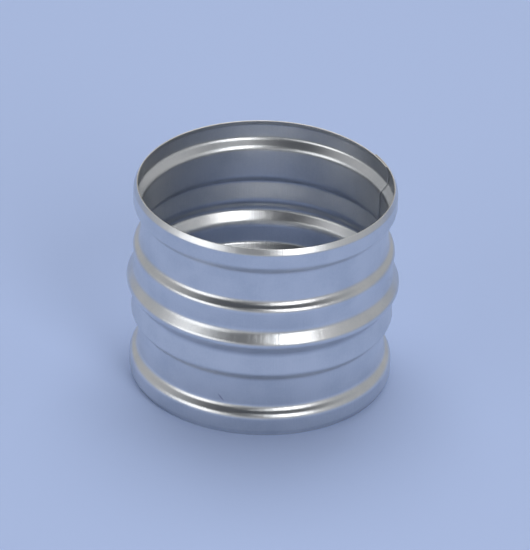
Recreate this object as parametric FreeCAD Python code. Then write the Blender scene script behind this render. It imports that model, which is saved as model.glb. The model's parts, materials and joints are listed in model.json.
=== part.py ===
"""Duct connector: a roll-formed sleeve of zinc-coated sheet that joins two lengths of round duct.

The sleeve stands on its lower cut edge. The origin is on its axis at that edge, with +Z up.
Both halves are alike: from each end there is a lip that leans inward, a collar that the duct
slides over, a plain wall, a shoulder that slopes in, and in the middle one tall bead as the stop.
The strip's two ends lap each other at one seam, where the sheet winds in by one thickness.
"""

import FreeCAD, Part
import math
import os

Vector = FreeCAD.Vector

# Driving dimensions, in millimetres and degrees
LENGTH = 82.6
COLLAR_DIAMETER = 101.6
SHEET_THICKNESS = 0.5

# How far the outside lies in or out at each form, one after the other from the collar
LIP_LEAN = 1.2
WALL_INSET = 3.1
SHOULDER_RISE = 3.05
VALLEY_DROP = 1.2
STOP_BEAD_RISE = 3.15

# Heights along the axis, from each end towards the middle
LIP_HEIGHT = 2.3
COLLAR_HEIGHT = 6.5
COLLAR_STEP_HEIGHT = 2.2
SHOULDER_STEP_HEIGHT = 2.2
SHOULDER_HEIGHT = 9.5
STOP_BEAD_HALF_HEIGHT = 5.0

# Bend radii, on the hollow side of the sheet
LIP_BEND = 0.8
COLLAR_BEND = 2.2
WALL_BEND = 3.0
SHOULDER_BEND = 1.5
VALLEY_BEND = 4.0
STOP_BEAD_BEND = 1.2

# The lapped seam: where its inner edge lies, its width around the wall, and how the sheet winds in to it
SEAM_AZIMUTH = 20.0
LAP_WIDTH = 10.0
WIND_IN_WIDTH = 40.0
WIND_IN_STEPS = 6
LAP_LAYERS = 2

# Radii of the outside, worked out from the above
COLLAR_RADIUS = COLLAR_DIAMETER / 2
LIP_RADIUS = COLLAR_RADIUS - LIP_LEAN
WALL_RADIUS = COLLAR_RADIUS - WALL_INSET
SHOULDER_RADIUS = WALL_RADIUS + SHOULDER_RISE
VALLEY_RADIUS = SHOULDER_RADIUS - VALLEY_DROP
STOP_BEAD_RADIUS = VALLEY_RADIUS + STOP_BEAD_RISE

AXIS_POINT = Vector(0, 0, 0)
AXIS = Vector(0, 0, 1)
FULL_TURN = 360.0


def rounding_over(bend):
    """Outside radius of a corner that bulges outward, with room inside it for the lap's layers."""
    return bend + LAP_LAYERS * SHEET_THICKNESS


def stop_bead_corner():
    """Radius of the sharp corner whose rounded crest comes to the stop bead's radius."""
    rounding = rounding_over(STOP_BEAD_BEND)
    rise = STOP_BEAD_RADIUS - rounding - VALLEY_RADIUS
    reach = math.hypot(rise, STOP_BEAD_HALF_HEIGHT)
    lean = math.atan2(rise, STOP_BEAD_HALF_HEIGHT) + math.asin(rounding / reach)
    return VALLEY_RADIUS + STOP_BEAD_HALF_HEIGHT * math.tan(lean)


def half_outline():
    """Outside corners from the lower cut edge to the stop bead, as (radius, height, rounding)."""
    collar_top = LIP_HEIGHT + COLLAR_HEIGHT
    wall_foot = collar_top + COLLAR_STEP_HEIGHT
    bead_crest = LENGTH / 2
    valley = bead_crest - STOP_BEAD_HALF_HEIGHT
    shoulder = valley - SHOULDER_HEIGHT
    wall_top = shoulder - SHOULDER_STEP_HEIGHT
    return [
        (LIP_RADIUS, 0.0, 0.0),
        (COLLAR_RADIUS, LIP_HEIGHT, rounding_over(LIP_BEND)),
        (COLLAR_RADIUS, collar_top, rounding_over(COLLAR_BEND)),
        (WALL_RADIUS, wall_foot, WALL_BEND),
        (WALL_RADIUS, wall_top, WALL_BEND),
        (SHOULDER_RADIUS, shoulder, rounding_over(SHOULDER_BEND)),
        (VALLEY_RADIUS, valley, VALLEY_BEND),
        (stop_bead_corner(), bead_crest, rounding_over(STOP_BEAD_BEND)),
    ]


def full_outline():
    """The half outline and its mirror image above mid-height."""
    lower = half_outline()
    upper = [(radius, LENGTH - height, rounding) for radius, height, rounding in reversed(lower[:-1])]
    return lower + upper


def rounded_corner(before, corner, after, rounding):
    """Start, middle and end of the arc that rounds a corner of an outline."""
    towards_before = (before - corner).normalize()
    towards_after = (after - corner).normalize()
    half_angle = towards_before.getAngle(towards_after) / 2
    setback = rounding / math.tan(half_angle)
    bisector = (towards_before + towards_after).normalize()
    arc_centre = corner + bisector * (rounding / math.sin(half_angle))
    return (
        corner + towards_before * setback,
        arc_centre - bisector * rounding,
        corner + towards_after * setback,
    )


def outside_wire():
    """The sleeve's outside in the XZ plane, with tangent arcs at the rolled corners."""
    outline = full_outline()
    corners = [Vector(radius, 0, height) for radius, height, _ in outline]
    edges = []
    line_start = corners[0]
    for index in range(1, len(corners) - 1):
        before, corner, after = corners[index - 1:index + 2]
        start, middle, end = rounded_corner(before, corner, after, outline[index][2])
        edges.append(Part.LineSegment(line_start, start).toShape())
        edges.append(Part.Arc(start, middle, end).toShape())
        line_start = end
    edges.append(Part.LineSegment(line_start, corners[-1]).toShape())
    return Part.Wire(edges)


def at_depth(outside, depth):
    """The outline that follows the outside at a depth within it."""
    return outside.makeOffset2D(depth, openResult=True) if depth else outside


def section_within(side):
    """The sheet's section as a face, from an outline to one thickness nearer the axis."""
    return side.makeOffset2D(SHEET_THICKNESS, fill=True, openResult=True)


def cut_edges(outer_side, inner_side):
    """The lower and the upper cut edge of the sheet between its two sides."""
    outer_points = [vertex.Point for vertex in outer_side.OrderedVertexes]
    inner_points = [vertex.Point for vertex in inner_side.OrderedVertexes]
    lower = Part.makeLine(outer_points[0], inner_points[0])
    upper = Part.makeLine(outer_points[-1], inner_points[-1])
    return [Part.Wire(lower), Part.Wire(upper)]


def turned(shape, azimuth):
    """A copy of a shape in the XZ plane, turned about the axis to an azimuth."""
    return shape.rotated(AXIS_POINT, AXIS, azimuth)


def swept(wire, start, angle):
    """The faces that a wire leaves as it turns about the axis, from a start azimuth."""
    return turned(wire, start).revolve(AXIS_POINT, AXIS, angle).Faces


def around_wall(width):
    """The angle that a width takes up around the wall."""
    return math.degrees(width / WALL_RADIUS)


def winding_in(outside, lap_end, wind_angle):
    """Faces that bring the sheet out from under the lap to its full turn, in short straight steps."""
    stations = []
    for step in range(WIND_IN_STEPS + 1):
        part = step / WIND_IN_STEPS
        depth = SHEET_THICKNESS * (1 - part)
        outer_side = at_depth(outside, depth)
        inner_side = at_depth(outside, depth + SHEET_THICKNESS)
        wires = [outer_side, inner_side] + cut_edges(outer_side, inner_side)
        stations.append([turned(wire, lap_end + wind_angle * part) for wire in wires])
    return [face for wires in zip(*stations) for face in Part.makeLoft(list(wires), False, True).Faces]


def connector_sleeve():
    """The whole strip as one skin: a turn of sheet, its winding in, and the inner layer of the lap."""
    outside = outside_wire()
    inside = at_depth(outside, SHEET_THICKNESS)
    lap_inside = at_depth(outside, LAP_LAYERS * SHEET_THICKNESS)

    lap_angle = around_wall(LAP_WIDTH)
    wind_angle = around_wall(WIND_IN_WIDTH)
    lap_end = SEAM_AZIMUTH + lap_angle
    wind_end = lap_end + wind_angle
    single_angle = FULL_TURN - lap_angle - wind_angle

    skin = swept(outside, wind_end, single_angle) + swept(outside, SEAM_AZIMUTH, lap_angle)
    skin += swept(inside, wind_end, single_angle) + swept(lap_inside, SEAM_AZIMUTH, lap_angle)
    for edge, lap_edge in zip(cut_edges(outside, inside), cut_edges(inside, lap_inside)):
        skin += swept(edge, wind_end, single_angle) + swept(edge, SEAM_AZIMUTH, lap_angle)
        skin += swept(lap_edge, SEAM_AZIMUTH, lap_angle)
    skin += winding_in(outside, lap_end, wind_angle)
    skin += [turned(section_within(outside), lap_end), turned(section_within(inside), SEAM_AZIMUTH)]

    shell = Part.makeShell(skin)
    shell.sewShape()
    return Part.makeSolid(shell).removeSplitter()


os.makedirs("parts", exist_ok=True)
connector_sleeve().exportStep("parts/connector_sleeve.step")
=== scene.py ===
import bpy
import json
import math
from mathutils import Matrix, Vector


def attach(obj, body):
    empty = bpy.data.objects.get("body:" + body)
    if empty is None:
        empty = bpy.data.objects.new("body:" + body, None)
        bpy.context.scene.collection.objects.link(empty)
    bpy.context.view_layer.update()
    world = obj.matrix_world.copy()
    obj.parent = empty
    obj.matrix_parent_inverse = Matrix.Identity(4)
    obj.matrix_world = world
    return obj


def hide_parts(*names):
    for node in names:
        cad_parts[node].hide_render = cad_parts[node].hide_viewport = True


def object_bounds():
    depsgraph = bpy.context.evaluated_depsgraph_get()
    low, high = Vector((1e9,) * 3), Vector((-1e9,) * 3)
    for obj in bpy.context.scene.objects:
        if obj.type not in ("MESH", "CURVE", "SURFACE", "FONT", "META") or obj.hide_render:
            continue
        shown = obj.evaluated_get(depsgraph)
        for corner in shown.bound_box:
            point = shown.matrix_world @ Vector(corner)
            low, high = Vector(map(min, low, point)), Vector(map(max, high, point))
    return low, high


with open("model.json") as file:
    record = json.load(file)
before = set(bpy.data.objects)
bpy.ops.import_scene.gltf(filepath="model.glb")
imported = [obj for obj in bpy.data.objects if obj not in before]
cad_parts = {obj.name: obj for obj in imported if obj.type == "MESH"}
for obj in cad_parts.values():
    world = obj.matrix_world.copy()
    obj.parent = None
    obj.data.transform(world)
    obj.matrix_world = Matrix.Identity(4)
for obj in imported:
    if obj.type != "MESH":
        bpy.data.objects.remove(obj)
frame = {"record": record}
CAD_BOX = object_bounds()

bl_info = {
    "name": "Duct Connector",
    "version": (1, 0, 0),
    "blender": (4, 5, 0),
    "location": "3D View > Sidebar > Duct Connector",
    "description": "Roll-formed sleeve of galvanised sheet that joins two round ducts, with a studio stage",
    "category": "Add Mesh",
}

MM = 0.001
NODE = "connector_sleeve"
PHOTO_SIZE = (530, 550)
COLLAR_RADIUS = frame["record"]["mounts"][0]["dims"]["r_mm"] * MM

# What the outline's points and the rolled sheet carry
OUTLINE_NORMAL = "across"
OUTLINE_LENGTH = "along"
SHEET_UV = "sheet"

# The mesh: points that hold a straight flat near its ends, points that count as one, and the dulled cut edges
LAP_LAYERS = 2
STRAIGHT_HOLD = 0.35 * MM
SAME_POINT = 0.002 * MM
CUT_EDGE_ANGLE = math.radians(50.0)
CUT_EDGE_SEGMENTS = 2

# The zinc's colour: what its grains and streaks add to the smudges, and where on that sum it turns dull
SOFT_NOISE_DETAIL = 1.0
MOTTLE_SHARE = 0.3
STREAK_SHARE = 0.12
DULLED_RANGE = (0.5, 1.0)

# The zinc's gloss: roughness over the mill grain's range, what dull and bare places add, and its direction
GRAIN_RANGE = (0.3, 0.7)
GRAIN_ROUGHNESS = (0.276, 0.295)
DULL_ROUGHNESS = 0.015
BARE_ROUGHNESS = 0.15
ANISOTROPY = 0.4

# Where the rub mark fades, in parts of its half size, and how near the strip's edge is still the cut edge
MARK_FADE = (0.1, 1.2)
CUT_EDGE_MARGIN = 0.01 * MM

# The stage: the floor's size in metres and its sheen, the unlit ceiling's middle and the cosines where it ends
FLOOR_HALF_WIDTH = 6.0
FLOOR_ROUGHNESS = 0.9
FLOOR_SPECULAR = 0.1
CEILING_ELEVATION = math.radians(60.0)
CEILING_EDGE = (0.70, 0.82)

# The camera: its sensor in millimetres, as its lens is, and the nearest and farthest it sees in metres
SENSOR_WIDTH = 36.0
CLIP_RANGE = (0.05, 50.0)


def linear(hex_colour):
    """An sRGB hex colour as linear red, green and blue."""
    channels = (int(hex_colour[i:i + 2], 16) / 255 for i in (1, 3, 5))
    return tuple(c / 12.92 if c <= 0.04045 else ((c + 0.055) / 1.055) ** 2.4 for c in channels)


def opaque(colour):
    """A property's colour as a colour socket takes it."""
    return (*colour, 1.0)


def add(tree, kind, feeds=None, **settings):
    """Adds a node, sets its options, and feeds its inputs from values or other nodes' outputs."""
    node = tree.nodes.new(kind)
    for name, value in settings.items():
        setattr(node, name, value)
    for key, value in (feeds or {}).items():
        if isinstance(value, bpy.types.NodeSocket):
            tree.links.new(value, node.inputs[key])
        else:
            node.inputs[key].default_value = value
    return node


def length_property(name, description, millimetres):
    """A property that holds a length."""
    return bpy.props.FloatProperty(
        name=name, description=description, default=millimetres * MM, min=0.0, precision=5, unit="LENGTH")


def angle_property(name, description, degrees):
    """A property that holds an angle."""
    return bpy.props.FloatProperty(
        name=name, description=description, default=math.radians(degrees), subtype="ANGLE")


def colour_property(name, description, hex_colour):
    """A property that holds a colour, given as sRGB hex."""
    return bpy.props.FloatVectorProperty(
        name=name, description=description, default=linear(hex_colour), size=3, min=0.0, max=1.0,
        subtype="COLOR")


# The properties that a user would change
class SleeveSizes(bpy.types.PropertyGroup):
    """Sizes of the rolled sleeve. All but the undercut's lean and the last few are the solid's own."""

    length: length_property("Length", "From cut edge to cut edge", (CAD_BOX[1].z - CAD_BOX[0].z) / MM)
    collar_radius: length_property(
        "Collar radius", "Outside radius that the duct slides over", COLLAR_RADIUS / MM)
    sheet: length_property("Sheet", "Thickness of the sheet", 0.5)

    lip_lean: length_property("Lip lean", "How far the lip leans in from the collar", 1.2)
    wall_inset: length_property("Wall inset", "How far the plain wall lies inside the collar", 3.1)
    shoulder_rise: length_property(
        "Shoulder rise", "How far the shoulder bead stands out from the wall", 3.05)
    valley_drop: length_property("Valley drop", "How far the shoulder slopes in to the valley", 1.2)
    stop_bead_rise: length_property(
        "Stop bead rise", "How far the stop bead stands out from the valley", 3.15)

    lip_height: length_property("Lip height", "Height of the leaning lip", 2.3)
    collar_height: length_property("Collar height", "Height of the collar", 6.5)
    collar_step_height: length_property(
        "Collar step height", "Height of the slope from collar to wall", 2.2)
    shoulder_step_height: length_property(
        "Shoulder step height", "Height of the slope from wall to shoulder", 2.2)
    shoulder_height: length_property("Shoulder height", "Height of the shoulder's slope", 9.5)
    stop_bead_half_height: length_property(
        "Stop bead half height", "From the valley to the stop bead's crest", 5.0)

    lip_bend: length_property("Lip bend", "Inside radius of the bend at the lip", 0.8)
    collar_bend: length_property("Collar bend", "Inside radius of the collar's bend", 2.2)
    wall_bend: length_property("Wall bend", "Outside radius of the hollow bends at the wall", 3.0)
    shoulder_bend: length_property("Shoulder bend", "Inside radius of the shoulder's bend", 1.5)
    valley_bend: length_property("Valley bend", "Outside radius of the hollow bend at the valley", 4.0)
    stop_bead_bend: length_property("Stop bead bend", "Inside radius of the stop bead's crest", 1.2)

    undercut_lean: angle_property(
        "Undercut lean", "Lean of the steps that face down, eased between the same ends", 44.0)

    seam_azimuth: angle_property("Seam azimuth", "Where the seam's inner edge lies, from +X towards +Y", 20.0)
    lap_width: length_property("Lap width", "Width of the lap around the wall", 10.0)
    wind_in_width: length_property("Winding in", "Width over which the sheet winds in under the lap", 40.0)

    lap_gap: length_property("Lap gap", "Gap between the lap's two layers", 0.02)
    edge_break: length_property("Edge break", "How far the sheet's cut edges are dulled", 0.1)
    ripple: length_property("Ripple", "Depth of the sheet's slight unevenness", 0.035)
    ripple_size: length_property("Ripple size", "Width of a swell of that unevenness", 28.0)

    steps_around: bpy.props.IntProperty(
        name="Steps around", description="Points around the sleeve, the lap included", default=320, min=12)
    bend_steps: bpy.props.IntProperty(
        name="Bend steps", description="Steps along each rolled bend", default=6, min=2)


class SleeveFinish(bpy.types.PropertyGroup):
    """Colours and grain of the zinc-coated sheet."""

    zinc_light: colour_property("Bright zinc", "Colour of the clean coating", "#DCDDDE")
    zinc_dark: colour_property("Dull zinc", "Colour where the coating is dulled", "#CED1D4")
    bare_steel: colour_property("Bare steel", "Colour of the cut edges", "#BBB8B2")
    mark: colour_property("Mark", "Colour of the small rub mark on the lower wall", "#A9A7B4")
    mark_azimuth: angle_property("Mark azimuth", "Where the rub mark lies, from +X towards +Y", 252.5)
    mark_height: length_property("Mark height", "Height of the rub mark above the lower cut edge", 13.9)
    mark_lean: angle_property("Mark lean", "How steeply the rub mark runs down to the right", 49.0)
    mark_length: length_property("Mark length", "Length of the rub mark", 4.4)
    mark_width: length_property("Mark width", "Width of the rub mark", 0.9)
    grain_width: length_property("Grain width", "Width of a streak of the mill grain", 0.34)
    grain_length: length_property("Grain length", "Length of a streak of the mill grain", 20.0)
    grain_depth: length_property("Grain depth", "Depth of the mill grain's relief", 0.047)
    mottle_size: length_property("Mottle size", "Width of a grain of the zinc", 1.0)
    smudge_size: length_property("Smudge size", "Width of the faint handling smudges", 14.0)


class StageLook(bpy.types.PropertyGroup):
    """Floor, room and camera."""

    floor: colour_property("Floor", "Colour of the plain floor", "#B0C1E6")
    studio_light: colour_property("Studio walls", "Colour of the room to the sides and behind", "#B9BABC")
    studio_dark: colour_property(
        "Studio front", "Colour of the unlit ceiling on the camera's side", "#292E37")
    camera_distance: length_property("Camera distance", "From the camera to the sleeve's centre", 2290.0)
    camera_elevation: angle_property("Camera elevation", "Height of the camera above the horizon", 30.81)
    camera_roll: angle_property("Camera roll", "How far the camera is turned about its view", 2.09)
    camera_lens: bpy.props.FloatProperty(
        name="Camera lens", description="Focal length in millimetres", default=387.74, min=1.0, precision=2)
    camera_shift: bpy.props.FloatVectorProperty(
        name="Camera shift", description="Pixels by which the sleeve's centre is off the frame's",
        default=(2.18, 1.25), size=2)


# The sleeve
def rounding_over(sizes, bend):
    """Outside radius of a bend that bulges outward, with room inside it for both layers of the lap."""
    return bend + LAP_LAYERS * sizes.sheet


def eased_step(narrow, wide, lean):
    """A step's two corners with its flank at another lean, between the same ends of its two bends."""
    narrow_radius, narrow_height, narrow_bend = narrow
    wide_radius, wide_height, wide_bend = wide
    steep = math.atan2(wide_radius - narrow_radius, wide_height - narrow_height)
    foot = narrow_height - narrow_bend * math.tan(steep / 2)
    top = wide_height + wide_bend * math.tan(steep / 2)
    rise = (wide_radius - narrow_radius) / math.tan(lean)
    scale = (top - foot - rise) / math.tan(lean / 2) / (narrow_bend + wide_bend)
    narrow_rounding, wide_rounding = narrow_bend * scale, wide_bend * scale
    return [
        (narrow_radius, foot + narrow_rounding * math.tan(lean / 2), narrow_rounding),
        (wide_radius, top - wide_rounding * math.tan(lean / 2), wide_rounding),
    ]


def outline_corners(sizes):
    """Sharp corners of the outside from the lower cut edge up, as (radius, height, rounding)."""
    wall = sizes.collar_radius - sizes.wall_inset
    shoulder = wall + sizes.shoulder_rise
    valley = shoulder - sizes.valley_drop

    # The sharp corner whose rounded crest comes to the stop bead's radius
    crest_rounding = rounding_over(sizes, sizes.stop_bead_bend)
    rise = sizes.stop_bead_rise - crest_rounding
    reach = math.hypot(rise, sizes.stop_bead_half_height)
    lean = math.atan2(rise, sizes.stop_bead_half_height) + math.asin(crest_rounding / reach)
    crest_corner = valley + sizes.stop_bead_half_height * math.tan(lean)

    collar_top = sizes.lip_height + sizes.collar_height
    middle = sizes.length / 2
    valley_height = middle - sizes.stop_bead_half_height
    shoulder_height = valley_height - sizes.shoulder_height
    lip = [
        (sizes.collar_radius - sizes.lip_lean, 0.0, 0.0),
        (sizes.collar_radius, sizes.lip_height, rounding_over(sizes, sizes.lip_bend)),
    ]
    collar_step = [
        (sizes.collar_radius, collar_top, rounding_over(sizes, sizes.collar_bend)),
        (wall, collar_top + sizes.collar_step_height, sizes.wall_bend),
    ]
    shoulder_step = [
        (wall, shoulder_height - sizes.shoulder_step_height, sizes.wall_bend),
        (shoulder, shoulder_height, rounding_over(sizes, sizes.shoulder_bend)),
    ]
    hollow = [(valley, valley_height, sizes.valley_bend)]
    crest = [(crest_corner, middle, crest_rounding)]

    def above(corners):
        """The same corners mirrored above mid-height."""
        return [(radius, sizes.length - height, rounding) for radius, height, rounding in reversed(corners)]

    eased_shoulder = eased_step(*shoulder_step, sizes.undercut_lean)
    eased_collar = eased_step(*above(collar_step), sizes.undercut_lean)
    lower = lip + collar_step + eased_shoulder + hollow
    upper = above(hollow) + above(shoulder_step) + eased_collar + above(lip)
    return lower + crest + upper


def outward_at(lean):
    """The direction outward from the sheet, in the outline's plane, where it leans by this much."""
    return Vector((math.cos(lean), -math.sin(lean)))


def outline_points(sizes):
    """Points up the outside with its lean at each: arcs at bends, and points that hold straights flat."""
    corners = outline_corners(sizes)
    places = [Vector(corner[:2]) for corner in corners]
    leans = [math.atan2(b.x - a.x, b.y - a.y) for a, b in zip(places, places[1:])]
    points = []
    start = places[0]
    for index, (place, lean) in enumerate(zip(places[1:], leans)):
        along = Vector((math.sin(lean), math.cos(lean)))
        last = index == len(leans) - 1
        turn = 0.0 if last else leans[index + 1] - lean
        rounding = corners[index + 1][2]
        end = place - along * (rounding * math.tan(abs(turn) / 2))
        straight = (end - start).length
        hold = min(STRAIGHT_HOLD, straight / 4)
        for distance in (0.0, hold, straight / 2, straight - hold):
            points.append((start + along * distance, lean))
        if last:
            points.append((end, lean))
            break
        reach = -rounding if turn > 0 else rounding
        centre = end - reach * outward_at(lean)
        for step in range(sizes.bend_steps):
            tilt = lean + turn * step / sizes.bend_steps
            points.append((centre + reach * outward_at(tilt), tilt))
        start = centre + reach * outward_at(lean + turn)
    kept = [points[0]]
    for point in points[1:]:
        if (point[0] - kept[-1][0]).length > SAME_POINT:
            kept.append(point)
    return kept


def outline_object(sizes):
    """The outline as a row of points that carry the sheet's direction outward and the length so far."""
    points = outline_points(sizes)
    mesh = bpy.data.meshes.new("sleeve_outline")
    edges = [(index, index + 1) for index in range(len(points) - 1)]
    mesh.from_pydata([(place.x, 0.0, place.y) for place, _ in points], edges, [])
    mesh.attributes.new(OUTLINE_NORMAL, "FLOAT_VECTOR", "POINT")
    mesh.attributes.new(OUTLINE_LENGTH, "FLOAT", "POINT")
    across, along = mesh.attributes[OUTLINE_NORMAL].data, mesh.attributes[OUTLINE_LENGTH].data
    total = 0.0
    for index, (place, lean) in enumerate(points):
        total += (place - points[index - 1][0]).length if index else 0.0
        across[index].vector = (math.cos(lean), 0.0, -math.sin(lean))
        along[index].value = total
    outline = bpy.data.objects.new("sleeve_outline", mesh)
    bpy.context.scene.collection.objects.link(outline)
    return outline


def rolled_sheet_tree():
    """The sleeve's rule: an outline carried about the axis, from the seam through a full turn and the lap."""
    tree = bpy.data.node_groups.new("rolled_sheet", "GeometryNodeTree")
    tree.interface.new_socket("Geometry", in_out="OUTPUT", socket_type="NodeSocketGeometry")
    for name, kind in (
        ("Outline", "Object"), ("Steps around", "Int"), ("Collar radius", "Float"), ("Seam azimuth", "Float"),
        ("Lap angle", "Float"), ("Winding angle", "Float"), ("Lap depth", "Float"), ("Ripple", "Float"),
        ("Ripple size", "Float"), ("Material", "Material"),
    ):
        tree.interface.new_socket(name, in_out="INPUT", socket_type="NodeSocket" + kind)
    given = add(tree, "NodeGroupInput").outputs
    seam, lap_angle = given["Seam azimuth"], given["Lap angle"]
    outline = add(tree, "GeometryNodeObjectInfo", {"Object": given["Outline"]}).outputs["Geometry"]
    count = add(tree, "GeometryNodeAttributeDomainSize", {"Geometry": outline},
                component="MESH").outputs["Point Count"]
    grid = add(tree, "GeometryNodeMeshGrid", {
        "Size X": 1.0, "Size Y": 1.0, "Vertices X": given["Steps around"], "Vertices Y": count})
    position = add(tree, "GeometryNodeInputPosition").outputs["Position"]
    flat = add(tree, "ShaderNodeSeparateXYZ", {"Vector": position}).outputs

    # Where a grid point lies: how far round, and which point of the outline
    part_round = add(tree, "ShaderNodeMath", {0: flat["X"], 1: 0.5}, operation="ADD").outputs[0]
    sweep = add(tree, "ShaderNodeMath", {0: lap_angle, 1: math.tau}, operation="ADD").outputs[0]
    turn = add(tree, "ShaderNodeMath", {0: part_round, 1: sweep, 2: seam}, operation="MULTIPLY_ADD").outputs[0]
    part_up = add(tree, "ShaderNodeMath", {0: flat["Y"], 1: 0.5}, operation="ADD").outputs[0]
    last_row = add(tree, "ShaderNodeMath", {0: count, 1: 1.0}, operation="SUBTRACT").outputs[0]
    row = add(tree, "ShaderNodeMath", {0: part_up, 1: last_row}, operation="MULTIPLY").outputs[0]
    row = add(tree, "ShaderNodeMath", {0: row}, operation="ROUND").outputs[0]
    across = add(tree, "GeometryNodeInputNamedAttribute", {"Name": OUTLINE_NORMAL},
                 data_type="FLOAT_VECTOR").outputs["Attribute"]
    along = add(tree, "GeometryNodeInputNamedAttribute", {"Name": OUTLINE_LENGTH},
                data_type="FLOAT").outputs["Attribute"]
    place = add(tree, "GeometryNodeSampleIndex", {"Geometry": outline, "Value": position, "Index": row},
                data_type="FLOAT_VECTOR").outputs["Value"]
    outward = add(tree, "GeometryNodeSampleIndex", {"Geometry": outline, "Value": across, "Index": row},
                  data_type="FLOAT_VECTOR").outputs["Value"]
    length = add(tree, "GeometryNodeSampleIndex", {"Geometry": outline, "Value": along, "Index": row},
                 data_type="FLOAT").outputs["Value"]

    # How deep the sheet lies: the lap's inner layer, the winding in, and a ripple that never swells outward
    lap_end = add(tree, "ShaderNodeMath", {0: seam, 1: lap_angle}, operation="ADD").outputs[0]
    wind_end = add(tree, "ShaderNodeMath", {0: lap_end, 1: given["Winding angle"]}, operation="ADD").outputs[0]
    layer = add(tree, "ShaderNodeMapRange", {
        "Value": turn, "From Min": lap_end, "From Max": wind_end, "To Min": given["Lap depth"], "To Max": 0.0,
    }, interpolation_type="SMOOTHSTEP").outputs["Result"]
    nominal = add(tree, "ShaderNodeVectorRotate", {"Vector": place, "Angle": turn},
                  rotation_type="Z_AXIS").outputs["Vector"]
    swells = add(tree, "ShaderNodeMath", {0: 1.0, 1: given["Ripple size"]}, operation="DIVIDE").outputs[0]
    ripple = add(tree, "ShaderNodeTexNoise", {
        "Vector": nominal, "Scale": swells, "Detail": SOFT_NOISE_DETAIL}).outputs[0]
    depth = add(tree, "ShaderNodeMath", {0: ripple, 1: given["Ripple"], 2: layer},
                operation="MULTIPLY_ADD").outputs[0]
    inward = add(tree, "ShaderNodeMath", {0: depth, 1: -1.0}, operation="MULTIPLY").outputs[0]
    moved = add(tree, "ShaderNodeVectorMath", {0: outward, 1: inward, 2: place},
                operation="MULTIPLY_ADD").outputs["Vector"]
    rolled = add(tree, "ShaderNodeVectorRotate", {"Vector": moved, "Angle": turn},
                 rotation_type="Z_AXIS").outputs["Vector"]

    # The flat strip's own measure, in metres, for patterns that follow the sheet
    arc = add(tree, "ShaderNodeMath", {0: turn, 1: given["Collar radius"]}, operation="MULTIPLY").outputs[0]
    strip = add(tree, "ShaderNodeCombineXYZ", {"X": arc, "Y": length}).outputs["Vector"]
    mapped = add(tree, "GeometryNodeStoreNamedAttribute", {
        "Geometry": grid.outputs["Mesh"], "Name": SHEET_UV, "Value": strip,
    }, data_type="FLOAT2", domain="CORNER")
    shaped = add(tree, "GeometryNodeSetPosition", {"Geometry": mapped.outputs["Geometry"], "Position": rolled})
    smooth = add(tree, "GeometryNodeSetShadeSmooth", {"Geometry": shaped.outputs["Geometry"]})
    real = add(tree, "GeometryNodeRealizeInstances", {"Geometry": smooth.outputs["Geometry"]})
    coated = add(tree, "GeometryNodeSetMaterial", {
        "Geometry": real.outputs["Geometry"], "Material": given["Material"]})
    add(tree, "NodeGroupOutput", {"Geometry": coated.outputs["Geometry"]})
    return tree


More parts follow.
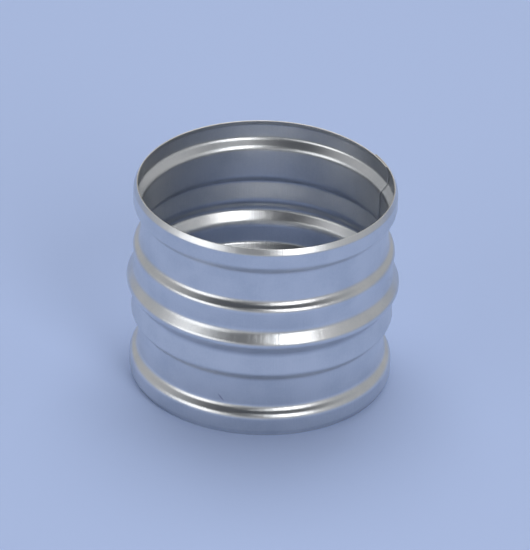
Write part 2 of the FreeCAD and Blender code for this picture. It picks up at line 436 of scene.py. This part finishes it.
def galvanised_steel(finish, sizes, strip_width):
    """Zinc-coated cold-rolled steel sheet, roll-formed.

    The bright zinc mirrors the room softly. Fine mill grain runs along the axis and draws each
    highlight out sideways, with combed edges. The zinc's own fine grain mottles the colour a little,
    and handling leaves faint dull smudges and one short rub mark. The cut edges show bare steel.
    """
    material = bpy.data.materials.new("galvanised_sheet_steel")
    material.use_nodes = True
    tree = material.node_tree
    tree.nodes.clear()
    strip = add(tree, "ShaderNodeUVMap", uv_map=SHEET_UV).outputs["UV"]
    place = add(tree, "ShaderNodeTexCoord").outputs["Object"]

    # Mill grain, drawn coarser than the real one so that it shows at the photo's scale
    stretched = add(tree, "ShaderNodeMapping", {
        "Vector": strip, "Scale": (1 / finish.grain_width, 1 / finish.grain_length, 1.0)}).outputs["Vector"]
    grain = add(tree, "ShaderNodeTexNoise", {
        "Vector": stretched, "Scale": 1.0, "Detail": SOFT_NOISE_DETAIL}).outputs[0]

    # The zinc's own grain and the streaks, over the handling smudges
    mottle = add(tree, "ShaderNodeTexNoise", {"Vector": place, "Scale": 1 / finish.mottle_size}).outputs[0]
    smudge = add(tree, "ShaderNodeTexNoise", {"Vector": place, "Scale": 1 / finish.smudge_size}).outputs[0]
    uneven = add(tree, "ShaderNodeMath", {0: mottle, 1: MOTTLE_SHARE, 2: smudge},
                 operation="MULTIPLY_ADD").outputs[0]
    streaked = add(tree, "ShaderNodeMath", {0: grain, 1: STREAK_SHARE, 2: uneven},
                   operation="MULTIPLY_ADD").outputs[0]
    dulled = add(tree, "ShaderNodeMapRange", {
        "Value": streaked, "From Min": DULLED_RANGE[0], "From Max": DULLED_RANGE[1],
    }, interpolation_type="SMOOTHSTEP").outputs["Result"]
    zinc = add(tree, "ShaderNodeMix", {
        "Factor": dulled, "A": opaque(finish.zinc_light), "B": opaque(finish.zinc_dark),
    }, data_type="RGBA").outputs["Result"]

    # The rub mark, a soft-edged streak that lies slantwise on the lower wall
    azimuth = finish.mark_azimuth
    wall_radius = sizes.collar_radius - sizes.wall_inset
    mark_place = (wall_radius * math.cos(azimuth), wall_radius * math.sin(azimuth), finish.mark_height)
    from_mark = add(tree, "ShaderNodeMapping", {
        "Vector": place, "Location": mark_place, "Rotation": (0.0, finish.mark_lean, azimuth + math.pi / 2),
        "Scale": (finish.mark_length / 2, sizes.sheet, finish.mark_width / 2),
    }, vector_type="TEXTURE").outputs["Vector"]
    out_from_mark = add(tree, "ShaderNodeVectorMath", {0: from_mark}, operation="LENGTH").outputs["Value"]
    rubbed = add(tree, "ShaderNodeMapRange", {
        "Value": out_from_mark, "From Min": MARK_FADE[0], "From Max": MARK_FADE[1],
        "To Min": 1.0, "To Max": 0.0,
    }, interpolation_type="SMOOTHSTEP").outputs["Result"]
    marked = add(tree, "ShaderNodeMix", {
        "Factor": rubbed, "A": zinc, "B": opaque(finish.mark)}, data_type="RGBA").outputs["Result"]

    # Cut edges, where the strip's own measure stays at its first or last value
    along = add(tree, "ShaderNodeSeparateXYZ", {"Vector": strip}).outputs["Y"]
    to_edge = add(tree, "ShaderNodeMath", {0: along, 1: strip_width / 2}, operation="PINGPONG").outputs[0]
    cut = add(tree, "ShaderNodeMath", {0: to_edge, 1: CUT_EDGE_MARGIN}, operation="LESS_THAN").outputs[0]
    colour = add(tree, "ShaderNodeMix", {
        "Factor": cut, "A": marked, "B": opaque(finish.bare_steel)}, data_type="RGBA").outputs["Result"]

    # A narrow range of roughness: it is the grain's relief that combs the edges of the highlights
    grain_roughness = add(tree, "ShaderNodeMapRange", {
        "Value": grain, "From Min": GRAIN_RANGE[0], "From Max": GRAIN_RANGE[1],
        "To Min": GRAIN_ROUGHNESS[0], "To Max": GRAIN_ROUGHNESS[1]}).outputs["Result"]
    dull_roughness = add(tree, "ShaderNodeMath", {0: dulled, 1: DULL_ROUGHNESS, 2: grain_roughness},
                         operation="MULTIPLY_ADD").outputs[0]
    bare = add(tree, "ShaderNodeMath", {0: cut, 1: rubbed}, operation="MAXIMUM").outputs[0]
    roughness = add(tree, "ShaderNodeMath", {0: bare, 1: BARE_ROUGHNESS, 2: dull_roughness},
                    operation="MULTIPLY_ADD").outputs[0]
    relief = add(tree, "ShaderNodeBump", {"Height": grain, "Strength": 1.0, "Distance": finish.grain_depth})
    tangent = add(tree, "ShaderNodeTangent", direction_type="UV_MAP", uv_map=SHEET_UV)
    shader = add(tree, "ShaderNodeBsdfPrincipled", {
        "Base Color": colour, "Metallic": 1.0, "Roughness": roughness, "Anisotropic": ANISOTROPY,
        "Normal": relief.outputs["Normal"], "Tangent": tangent.outputs["Tangent"]})
    add(tree, "ShaderNodeOutputMaterial", {"Surface": shader.outputs["BSDF"]})
    return material


class DUCT_OT_sleeve(bpy.types.Operator):
    """Rolls the galvanised sheet into the sleeve, with its lapped seam"""

    bl_idname = "duct.sleeve"
    bl_label = "Rolled Sleeve"
    bl_options = {"REGISTER", "UNDO"}

    def execute(self, context):
        sizes = context.scene.duct_sleeve
        wall_radius = sizes.collar_radius - sizes.wall_inset
        outline = outline_object(sizes)
        strip_width = outline.data.attributes[OUTLINE_LENGTH].data[-1].value
        tree = rolled_sheet_tree()
        values = {
            "Outline": outline,
            "Steps around": sizes.steps_around,
            "Collar radius": sizes.collar_radius,
            "Seam azimuth": sizes.seam_azimuth,
            "Lap angle": sizes.lap_width / wall_radius,
            "Winding angle": sizes.wind_in_width / wall_radius,
            "Lap depth": sizes.sheet + sizes.lap_gap,
            "Ripple": sizes.ripple,
            "Ripple size": sizes.ripple_size,
            "Material": galvanised_steel(context.scene.duct_finish, sizes, strip_width),
        }
        maker = bpy.data.objects.new("sleeve_maker", bpy.data.meshes.new("sleeve_maker"))
        context.scene.collection.objects.link(maker)
        rolled = maker.modifiers.new("rolled_sheet", "NODES")
        rolled.node_group = tree
        for item in tree.interface.items_tree:
            if item.in_out == "INPUT":
                rolled[item.identifier] = values[item.name]
        wall = maker.modifiers.new("sheet_thickness", "SOLIDIFY")
        wall.thickness = sizes.sheet
        wall.offset = -1.0
        wall.use_even_offset = True
        edges = maker.modifiers.new("cut_edges", "BEVEL")
        edges.width = sizes.edge_break
        edges.segments = CUT_EDGE_SEGMENTS
        edges.limit_method = "ANGLE"
        edges.angle_limit = CUT_EDGE_ANGLE

        depsgraph = context.evaluated_depsgraph_get()
        mesh = bpy.data.meshes.new_from_object(
            maker.evaluated_get(depsgraph), preserve_all_data_layers=True, depsgraph=depsgraph)
        if not mesh.polygons:
            raise RuntimeError("The rolled sheet has no faces")
        mesh.name = "rolled_sleeve"
        # The empty slot that comes before the tree's own material
        mesh.materials.pop(index=0)
        sleeve = bpy.data.objects.new("rolled_sleeve", mesh)
        context.scene.collection.objects.link(sleeve)
        bpy.data.objects.remove(maker)
        bpy.data.objects.remove(outline)
        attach(sleeve, "root")
        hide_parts(NODE)
        return {"FINISHED"}


# The stage
def towards(azimuth, elevation):
    """A direction from the sleeve: azimuth to the right of the camera's side, elevation above the floor."""
    level = math.cos(elevation)
    return Vector((math.sin(azimuth) * level, -math.cos(azimuth) * level, math.sin(elevation)))


def plain_floor(look):
    """A wide matt floor that the sleeve stands on."""
    half = FLOOR_HALF_WIDTH
    corners = [(-half, -half, 0.0), (half, -half, 0.0), (half, half, 0.0), (-half, half, 0.0)]
    mesh = bpy.data.meshes.new("floor")
    mesh.from_pydata(corners, [], [(0, 1, 2, 3)])
    floor = bpy.data.objects.new("floor", mesh)
    floor.location.z = CAD_BOX[0].z
    bpy.context.scene.collection.objects.link(floor)

    # Matt paper, which spreads the light evenly and keeps a soft shadow
    material = bpy.data.materials.new("matt_studio_paper")
    material.use_nodes = True
    tree = material.node_tree
    tree.nodes.clear()
    shader = add(tree, "ShaderNodeBsdfPrincipled", {
        "Base Color": opaque(look.floor), "Roughness": FLOOR_ROUGHNESS, "Specular IOR Level": FLOOR_SPECULAR})
    add(tree, "ShaderNodeOutputMaterial", {"Surface": shader.outputs["BSDF"]})
    mesh.materials.append(material)


def softbox(name, azimuth, elevation, distance, width, height, watts):
    """A soft light that faces the sleeve, placed by degrees and metres."""
    data = bpy.data.lights.new(name, "AREA")
    data.shape = "RECTANGLE"
    data.size, data.size_y = width, height
    data.energy = watts
    light = bpy.data.objects.new(name, data)
    bpy.context.scene.collection.objects.link(light)
    centre = (CAD_BOX[0] + CAD_BOX[1]) / 2
    direction = towards(math.radians(azimuth), math.radians(elevation))
    light.location = centre + direction * distance
    light.rotation_euler = (-direction).to_track_quat("-Z", "Y").to_euler()


def studio_room(look):
    """A pale room with an unlit ceiling above the camera's side."""
    world = bpy.data.worlds.new("studio")
    world.use_nodes = True
    tree = world.node_tree
    tree.nodes.clear()
    direction = add(tree, "ShaderNodeTexCoord").outputs["Generated"]
    ceiling = towards(0.0, CEILING_ELEVATION)
    facing = add(tree, "ShaderNodeVectorMath", {0: direction, 1: ceiling},
                 operation="DOT_PRODUCT").outputs["Value"]
    darkness = add(tree, "ShaderNodeMapRange", {
        "Value": facing, "From Min": CEILING_EDGE[0], "From Max": CEILING_EDGE[1],
    }, interpolation_type="SMOOTHSTEP").outputs["Result"]
    grey = add(tree, "ShaderNodeMix", {
        "Factor": darkness, "A": opaque(look.studio_light), "B": opaque(look.studio_dark),
    }, data_type="RGBA").outputs["Result"]
    background = add(tree, "ShaderNodeBackground", {"Color": grey, "Strength": 1.0})
    add(tree, "ShaderNodeOutputWorld", {"Surface": background.outputs["Background"]})
    bpy.context.scene.world = world


def photo_camera(look):
    """A camera at the photo's viewing angle."""
    data = bpy.data.cameras.new("camera")
    data.lens = look.camera_lens
    data.sensor_width = SENSOR_WIDTH
    data.shift_x, data.shift_y = (pixels / max(PHOTO_SIZE) for pixels in look.camera_shift)
    data.clip_start, data.clip_end = CLIP_RANGE
    camera = bpy.data.objects.new("camera", data)
    bpy.context.scene.collection.objects.link(camera)
    centre = (CAD_BOX[0] + CAD_BOX[1]) / 2
    back = towards(0.0, look.camera_elevation)
    camera.location = Vector((0.0, 0.0, centre.z)) + back * look.camera_distance
    level = back.to_track_quat("Z", "Y").to_matrix()
    camera.rotation_euler = (level @ Matrix.Rotation(look.camera_roll, 3, "Z")).to_euler()
    bpy.context.scene.camera = camera


class DUCT_OT_stage(bpy.types.Operator):
    """Adds the plain floor, the soft studio light and the camera"""

    bl_idname = "duct.stage"
    bl_label = "Studio Stage"
    bl_options = {"REGISTER", "UNDO"}

    def execute(self, context):
        look = context.scene.duct_stage
        plain_floor(look)
        studio_room(look)
        softbox("softbox_right", azimuth=29, elevation=36, distance=1.3, width=0.42, height=0.85, watts=4.7)
        softbox("softbox_left", azimuth=-54, elevation=18, distance=1.3, width=0.9, height=0.75, watts=2.8)
        softbox("softbox_behind", azimuth=180, elevation=66, distance=1.6, width=1.3, height=1.3, watts=13.5)
        photo_camera(look)
        context.scene.view_settings.view_transform = "Standard"
        return {"FINISHED"}


class DUCT_PT_connector(bpy.types.Panel):
    """Lists the connector's pieces and their properties"""

    bl_idname = "DUCT_PT_connector"
    bl_label = "Duct Connector"
    bl_space_type = "VIEW_3D"
    bl_region_type = "UI"
    bl_category = "Duct Connector"

    def draw(self, context):
        for group, operator in (
            ("duct_sleeve", DUCT_OT_sleeve), ("duct_finish", None), ("duct_stage", DUCT_OT_stage),
        ):
            settings = getattr(context.scene, group)
            box = self.layout.box()
            for name in settings.__annotations__:
                box.prop(settings, name)
            if operator:
                box.operator(operator.bl_idname)


CLASSES = (SleeveSizes, SleeveFinish, StageLook, DUCT_OT_sleeve, DUCT_OT_stage, DUCT_PT_connector)


def register():
    for cls in CLASSES:
        bpy.utils.register_class(cls)
    bpy.types.Scene.duct_sleeve = bpy.props.PointerProperty(type=SleeveSizes)
    bpy.types.Scene.duct_finish = bpy.props.PointerProperty(type=SleeveFinish)
    bpy.types.Scene.duct_stage = bpy.props.PointerProperty(type=StageLook)


def unregister():
    del bpy.types.Scene.duct_sleeve
    del bpy.types.Scene.duct_finish
    del bpy.types.Scene.duct_stage
    for cls in reversed(CLASSES):
        bpy.utils.unregister_class(cls)


def main():
    register()
    bpy.ops.duct.sleeve()
    bpy.ops.duct.stage()


if __name__ == "__main__":
    main()
